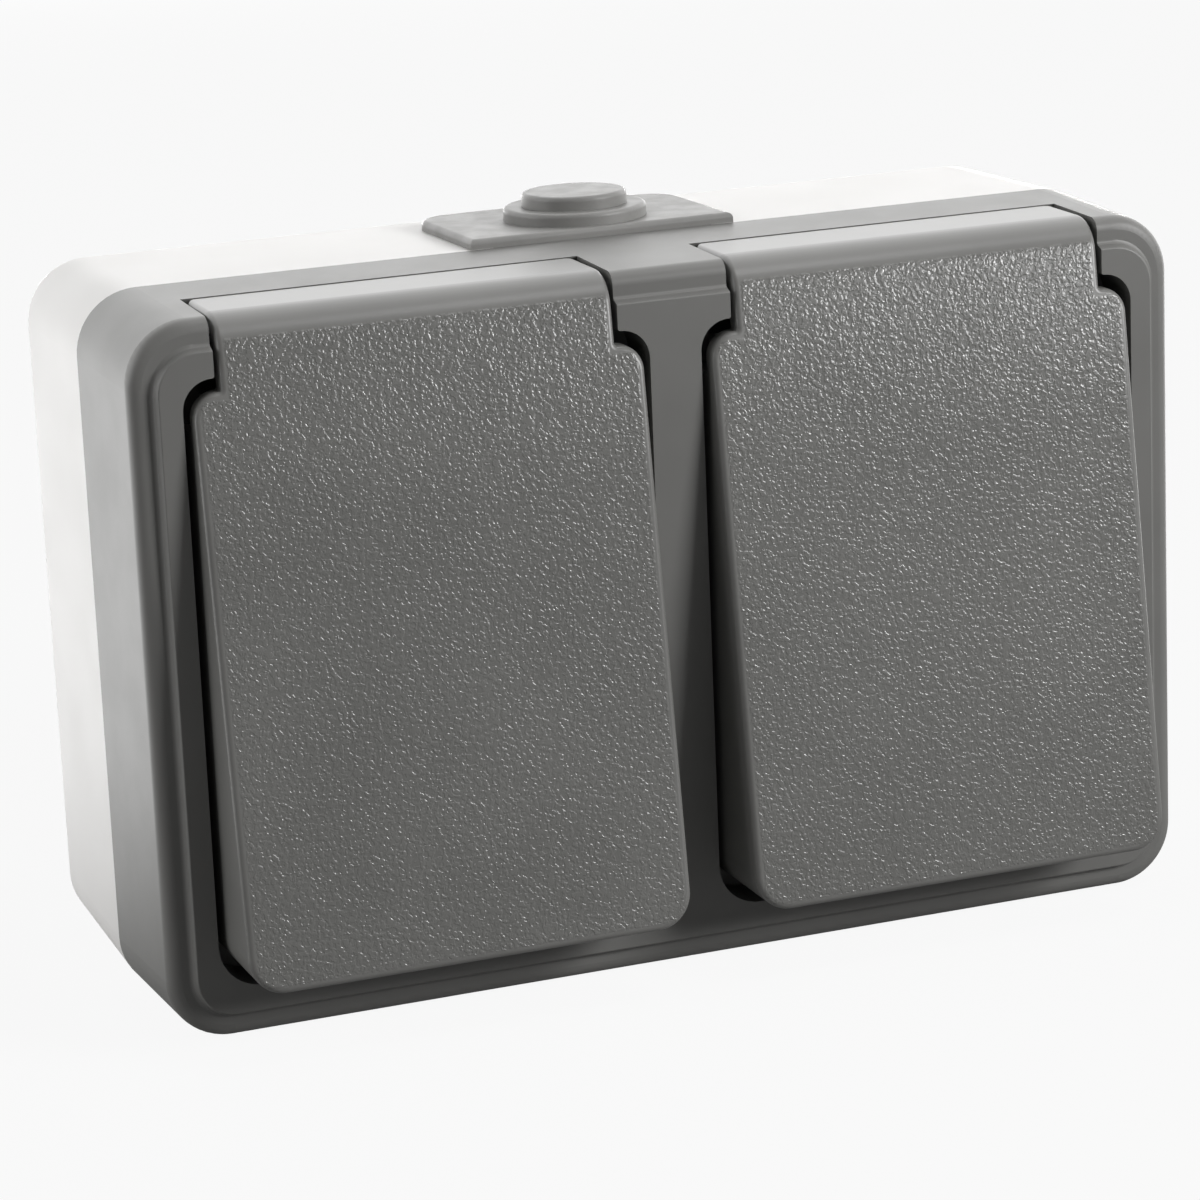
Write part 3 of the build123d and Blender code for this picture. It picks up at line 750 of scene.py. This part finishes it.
@dataclass(frozen=True)
class SoftBox:
    """A rectangular studio lamp.

    Attributes:
        name: Name of the lamp.
        place: Where it stands.
        aim: Point that it faces.
        size: Width and height.
        power: Power in watts.
    """

    name: str
    place: Point
    aim: Point
    size: Span
    power: float

    def build(self) -> bpy.types.Object:
        """Make the lamp.

        Returns:
            The lamp's object.
        """
        bpy.ops.object.select_all(action="DESELECT")
        bpy.ops.object.light_add(type="AREA", location=self.place)
        lamp = bpy.context.object
        lamp.name = self.name
        lamp.data.shape = "RECTANGLE"
        lamp.data.size, lamp.data.size_y = self.size
        lamp.data.energy = self.power
        sight = Vector(self.aim) - Vector(self.place)
        lamp.rotation_euler = sight.to_track_quat("-Z", "Y").to_euler()
        LOG.info("lamp %s", self.name)
        return lamp


@dataclass(frozen=True)
class Studio:
    """Pale floor, white surround and soft lamps.

    The floor and the surround reflect brightly behind the object and dimly before it, so that flat tops
    and sides catch a broad sheen and the front stays dark.

    Attributes:
        floor_span: Side of the floor.
        floor_colour: Linear colour of the floor.
        floor_lift: Share of plain white that the camera sees on the floor.
        floor_turn: Depths between which the floor turns from its front to its back strength.
        surround_turn: The same for the surround, as the depth of a unit direction.
        ambient: Strength of the surround's light in front of and behind the object.
        sheen: Strength of the surround's reflection in front of and behind the object.
        floor_sheen: Strength of the floor's reflection in front of and behind the object.
        lamps: The soft lamps.
    """

    floor_span: float = 8.0
    floor_colour: Colour = (0.4, 0.4, 0.4)
    floor_lift: float = 0.92
    floor_turn: Span = (-0.08, 0.14)
    surround_turn: Span = (-0.35, 0.45)
    ambient: Span = (0.09, 0.2)
    sheen: Span = (0.2, 2.8)
    floor_sheen: Span = (0.15, 3.5)
    lamps: tuple[SoftBox, ...] = (
        SoftBox("key_softbox", (0.72, -0.69, 0.38), OBJECT_MIDDLE, (0.33, 0.33), 10.2),
        SoftBox("overhead_softbox", (0.41, -0.31, 1.1), OBJECT_MIDDLE, (0.28, 0.28), 2.8),
        SoftBox("left_softbox", (-1.25, 0.0, 0.4), OBJECT_MIDDLE, (0.9, 0.9), 8.0),
        SoftBox("back_softbox", (0.35, 1.2, -0.015), (0.0, -0.03, -0.01), (0.8, 0.05), 8.0),
    )

    def build(self) -> None:
        """Make the floor, the surround and the lamps."""
        bpy.ops.object.select_all(action="DESELECT")
        bpy.ops.mesh.primitive_plane_add(size=self.floor_span, location=(0.0, 0.0, CAD_LOW.z))
        floor = bpy.context.object
        floor.name = "studio_floor"
        floor.data.materials.append(self.floor_material())
        LOG.info("stage %s", floor.name)
        self.light_surround()
        for lamp in self.lamps:
            lamp.build()
        bpy.context.scene.view_settings.view_transform = "Standard"

    def brightness(self, board: Board, back: Socket, sheen_range: Span) -> Socket:
        """Find how bright the floor or the surround is to each kind of ray.

        Args:
            board: The board of a material or world.
            back: A value that is 0 in front of the object and 1 behind it.
            sheen_range: Strength of the reflection in front of and behind the object.

        Returns:
            A socket that is 1 on camera rays, the sheen on mirror rays and the ambient on the rest.
        """
        rays = board.node("ShaderNodeLightPath").outputs
        mirror = board.math("MAXIMUM", rays["Is Glossy Ray"], rays["Is Transmission Ray"])
        ambient = board.ramp(back, 0.0, 1.0, *self.ambient)
        sheen = board.ramp(back, 0.0, 1.0, *sheen_range)
        unseen = board.math("MULTIPLY_ADD", mirror, board.math("SUBTRACT", sheen, ambient), ambient)
        lift = board.math("MULTIPLY", rays["Is Camera Ray"], board.math("SUBTRACT", 1.0, unseen))
        return board.math("ADD", unseen, lift)

    def floor_material(self) -> bpy.types.Material:
        """Make the pale floor, which keeps a soft shadow.

        Returns:
            The floor's material.
        """
        made = bpy.data.materials.new("pale_floor")
        made.use_nodes = True
        board = Board(made.node_tree)
        matt = board.node("ShaderNodeBsdfDiffuse", Color=rgba(self.floor_colour))
        place = board.node("ShaderNodeTexCoord").outputs["Object"]
        back = board.ramp(board.split(place)["Y"], *self.floor_turn)
        strength = self.brightness(board, back, self.floor_sheen)
        white = board.node("ShaderNodeEmission", Color=rgba(WHITE), Strength=strength)
        rays = board.node("ShaderNodeLightPath").outputs
        seen = board.math("MAXIMUM", rays["Is Camera Ray"], rays["Is Glossy Ray"])
        seen = board.math("MAXIMUM", seen, rays["Is Transmission Ray"])
        lift = board.math("MULTIPLY", seen, self.floor_lift)
        blend = board.node("ShaderNodeMixShader")
        for target, value in zip(blend.inputs, (lift, matt.outputs["BSDF"], white.outputs["Emission"])):
            board.fill(target, value)
        board.node("ShaderNodeOutputMaterial", Surface=blend.outputs["Shader"])
        return made

    def light_surround(self) -> None:
        """Make the surround white to the eye and a soft light on the object, stronger from behind."""
        world = bpy.data.worlds.new("white_surround")
        world.use_nodes = True
        bpy.context.scene.world = world
        board = Board(world.node_tree)
        sight = board.node("ShaderNodeTexCoord").outputs["Generated"]
        back = board.ramp(board.split(sight)["Y"], *self.surround_turn)
        strength = self.brightness(board, back, self.sheen)
        light = board.node("ShaderNodeBackground", Color=rgba(WHITE), Strength=strength)
        board.node("ShaderNodeOutputWorld", Surface=light.outputs["Background"])


@dataclass(frozen=True)
class LidSpring:
    """Wound torsion spring on a hinge pin, with a leg on the housing and one under the lid's tail.

    Attributes:
        side: Which lid it closes.
        finish: Finish of the wire.
        wire: Diameter of the wire.
        base_angle: How far the housing's leg dips on its way to the wall, in degrees.
        base_leg: Length of the housing's leg.
        lid_leg: Length of the leg under the lid.
        whole_turns: Full turns of the coil besides the part turn between the legs.
        turn_steps: Segments in one turn.
        wire_sides: Sides of the wire's section.
        smooth_angle: Bend between faces, in degrees, that is still shaded smooth.
        tip_angle: Bend between faces, in degrees, that marks the rim of a cut tip.
        tip_bevel: Width of the bevel on that rim.
        tip_segments: Segments of that bevel.
    """

    side: Side
    finish: Finish
    wire: float = 0.5 * MM
    base_angle: float = 35.0
    base_leg: float = 8.0 * MM
    lid_leg: float = 6.0 * MM
    whole_turns: int = 5
    turn_steps: int = 30
    wire_sides: int = 12
    smooth_angle: float = 40.0
    tip_angle: float = 50.0
    tip_bevel: float = 0.0625 * MM
    tip_segments: int = 2

    def build(self) -> bpy.types.Object:
        """Wind the coil, add both legs and hide the CAD spring.

        Returns:
            The spring's object.
        """
        pin_low, pin_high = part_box(f"{self.side.value}_hinge_pin")
        spring_low, spring_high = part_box(f"{self.side.value}_lid_spring")
        axis = (pin_low + pin_high) / 2
        radius = spring_high.z - axis.z - self.wire / 2
        start = spring_low.x + self.wire / 2
        end = spring_high.x - self.wire
        angle = math.radians(self.base_angle)
        first = Vector((start, axis.y - radius * math.sin(angle), axis.z - radius * math.cos(angle)))
        rise = self.wire
        last = Vector((end, axis.y + math.sqrt(radius**2 - rise**2), axis.z + rise))
        coil = self.wind(Vector((start, axis.y, axis.z)), first, last)
        to_housing = Vector((0.0, math.cos(angle), -math.sin(angle)))
        under_lid = Vector((0.0, 1.0, 0.0))
        parts = [
            coil,
            self.leg(first, to_housing, self.base_leg),
            self.leg(last, under_lid, self.lid_leg),
            self.elbow(first),
            self.elbow(last),
        ]
        bpy.ops.object.select_all(action="DESELECT")
        for part in parts:
            part.select_set(True)
        bpy.context.view_layer.objects.active = coil
        bpy.ops.object.join()
        bpy.ops.object.transform_apply(location=True, rotation=True, scale=True)
        coil.name = f"{self.side.value}_wound_spring"
        bpy.ops.object.shade_smooth_by_angle(angle=math.radians(self.smooth_angle))
        coil.data.materials.clear()
        coil.data.materials.append(self.finish.material())
        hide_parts(f"{self.side.value}_lid_spring")
        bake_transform(coil)
        LOG.info("piece %s", coil.name)
        return coil

    def wind(self, middle: Vector, first: Vector, last: Vector) -> bpy.types.Object:
        """Sweep the wire's section round the pin.

        Args:
            middle: Point of the pin's axis at the coil's start.
            first: Middle of the wire at the start.
            last: Middle of the wire at the end.

        Returns:
            The coil's object.
        """
        spoke = first - middle
        bpy.ops.object.select_all(action="DESELECT")
        bpy.ops.mesh.primitive_circle_add(
            vertices=self.wire_sides, radius=self.wire / 2, location=middle,
        )
        coil = bpy.context.object
        tilt = math.atan2(spoke.z, spoke.y)
        bpy.ops.object.mode_set(mode="EDIT")
        bpy.ops.mesh.select_all(action="SELECT")
        bpy.ops.transform.rotate(value=-tilt, orient_axis="X", center_override=middle)
        bpy.ops.transform.translate(value=spoke)
        bpy.ops.object.mode_set(mode="OBJECT")
        goal = math.atan2(last.z - middle.z, last.y - middle.y)
        sweep = goal - tilt
        while sweep > 0.0:
            sweep -= math.tau
        sweep -= self.whole_turns * math.tau
        screw = coil.modifiers.new("winding", "SCREW")
        screw.axis = "X"
        screw.angle = sweep
        screw.screw_offset = last.x - first.x
        screw.steps = round(-sweep / math.tau * self.turn_steps)
        screw.render_steps = screw.steps
        screw.use_merge_vertices = False
        bpy.ops.object.modifier_apply(modifier=screw.name)
        return coil

    def leg(self, start: Vector, away: Vector, length: float) -> bpy.types.Object:
        """Make a straight end of the wire with a cut tip.

        Args:
            start: Where it leaves the coil.
            away: Unit direction in which it runs.
            length: Its length.

        Returns:
            The leg's object.
        """
        bpy.ops.object.select_all(action="DESELECT")
        bpy.ops.mesh.primitive_cylinder_add(
            vertices=self.wire_sides, radius=self.wire / 2, depth=length,
            location=start + away * length / 2, rotation=away.to_track_quat("Z", "X").to_euler(),
        )
        bpy.ops.object.mode_set(mode="EDIT")
        bpy.ops.mesh.select_all(action="DESELECT")
        bpy.ops.mesh.edges_select_sharp(sharpness=math.radians(self.tip_angle))
        bpy.ops.mesh.bevel(offset=self.tip_bevel, segments=self.tip_segments)
        bpy.ops.object.mode_set(mode="OBJECT")
        return bpy.context.object

    def elbow(self, place: Vector) -> bpy.types.Object:
        """Make the rounded bend between the coil and a leg.

        Args:
            place: Middle of the bend.

        Returns:
            The bend's object.
        """
        bpy.ops.object.select_all(action="DESELECT")
        bpy.ops.mesh.primitive_uv_sphere_add(
            segments=self.wire_sides, ring_count=self.wire_sides // 2, radius=self.wire / 2,
            location=place,
        )
        return bpy.context.object


@dataclass(frozen=True)
class CadDress:
    """Gives each CAD node its finish.

    Attributes:
        grey: Linear colour of the shell and the lids.
        lid_tilt: Tilt of the lids' outer faces, in degrees.
        neck_step: How far a lid's neck stands in from its side.
        shoulder_drop: How far a lid's shoulders lie below its top.
        grain_drop: How far below a lid's top the grain ends.
        steel: Finish of the pins, screws and springs.
    """

    grey: Colour = (0.14, 0.139, 0.133)
    lid_tilt: float = 7.8
    neck_step: float = 3.65 * MM
    shoulder_drop: float = 9.0 * MM
    grain_drop: float = 2.6 * MM
    steel: StripMetal = StripMetal("zinc_steel", (0.6, 0.6, 0.61))

    def lid_finish(self) -> GrainedPlastic:
        """Fit the grain to the lids' outline in the frame.

        Returns:
            The finish of both lids.
        """
        low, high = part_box("left_lid")
        other_low, other_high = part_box("right_lid")
        half_width = (high.x - low.x) / 2
        slope = math.tan(math.radians(self.lid_tilt))
        return GrainedPlastic(
            "lid_grain", self.grey, pitch=(other_low.x + other_high.x) / 2 - (low.x + high.x) / 2,
            half_width=half_width, half_neck=half_width - self.neck_step, bottom=low.z,
            shoulder=high.z - self.shoulder_drop, top=high.z - self.grain_drop,
            slope=slope, face=slope * low.z - low.y,
        )

    def finishes(self) -> dict[str, Finish]:
        """Choose the finish of each node.

        Returns:
            A finish for each node's name.
        """
        pale = MouldedPlastic("pale_box_plastic", (0.78, 0.77, 0.755), roughness=0.5, tone_share=0.015)
        shell = MouldedPlastic("grey_shell_plastic", self.grey, roughness=0.48)
        cup = MouldedPlastic("grey_cup_plastic", (0.1, 0.1, 0.097), roughness=0.42)
        carrier = MouldedPlastic("carrier_thermoset", (0.62, 0.58, 0.48), roughness=0.55)
        gland = Rubber("gland_rubber_grey", (0.185, 0.183, 0.176), roughness=0.5)
        seal = Rubber("seal_rubber_black", (0.012, 0.012, 0.012), roughness=0.55)
        brass = StripMetal("brass_strip", (0.72, 0.5, 0.2))
        nickel = StripMetal("nickel_strip", (0.68, 0.65, 0.58), line_axis=(0.0, 1.0, 0.0))
        chosen: dict[str, Finish] = {
            "rear_housing": pale, "front_housing": shell, "cable_gland": gland, "housing_gasket": seal,
            "live_rail": brass, "neutral_rail": brass, "earth_rail": brass, "terminal_clamps": brass,
            "terminal_screws": self.steel, "cover_screws": self.steel, "carrier_screws": self.steel,
        }
        paired: dict[str, Finish] = {
            "lid": self.lid_finish(), "lid_seal": seal, "hinge_pin": self.steel, "lid_spring": self.steel,
            "socket_cup": cup, "contact_carrier": carrier, "earth_clip": nickel,
        }
        for side in Side:
            chosen.update({f"{side.value}_{piece}": finish for piece, finish in paired.items()})
        return chosen

    def apply(self) -> None:
        """Put each node's finish in its material slots."""
        for node, finish in self.finishes().items():
            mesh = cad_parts[node].data
            mesh.materials.clear()
            mesh.materials.append(finish.material())
            LOG.info("node %s takes %s", node, finish.name)


def main() -> None:
    """Build the camera, the studio, the finishes and the pieces in order."""
    logging.basicConfig(level=logging.INFO)
    PhotoCamera().build()
    Studio().build()
    dress = CadDress()
    dress.apply()
    for side in Side:
        LidSpring(side, dress.steel).build()


if __name__ == "__main__":
    main()
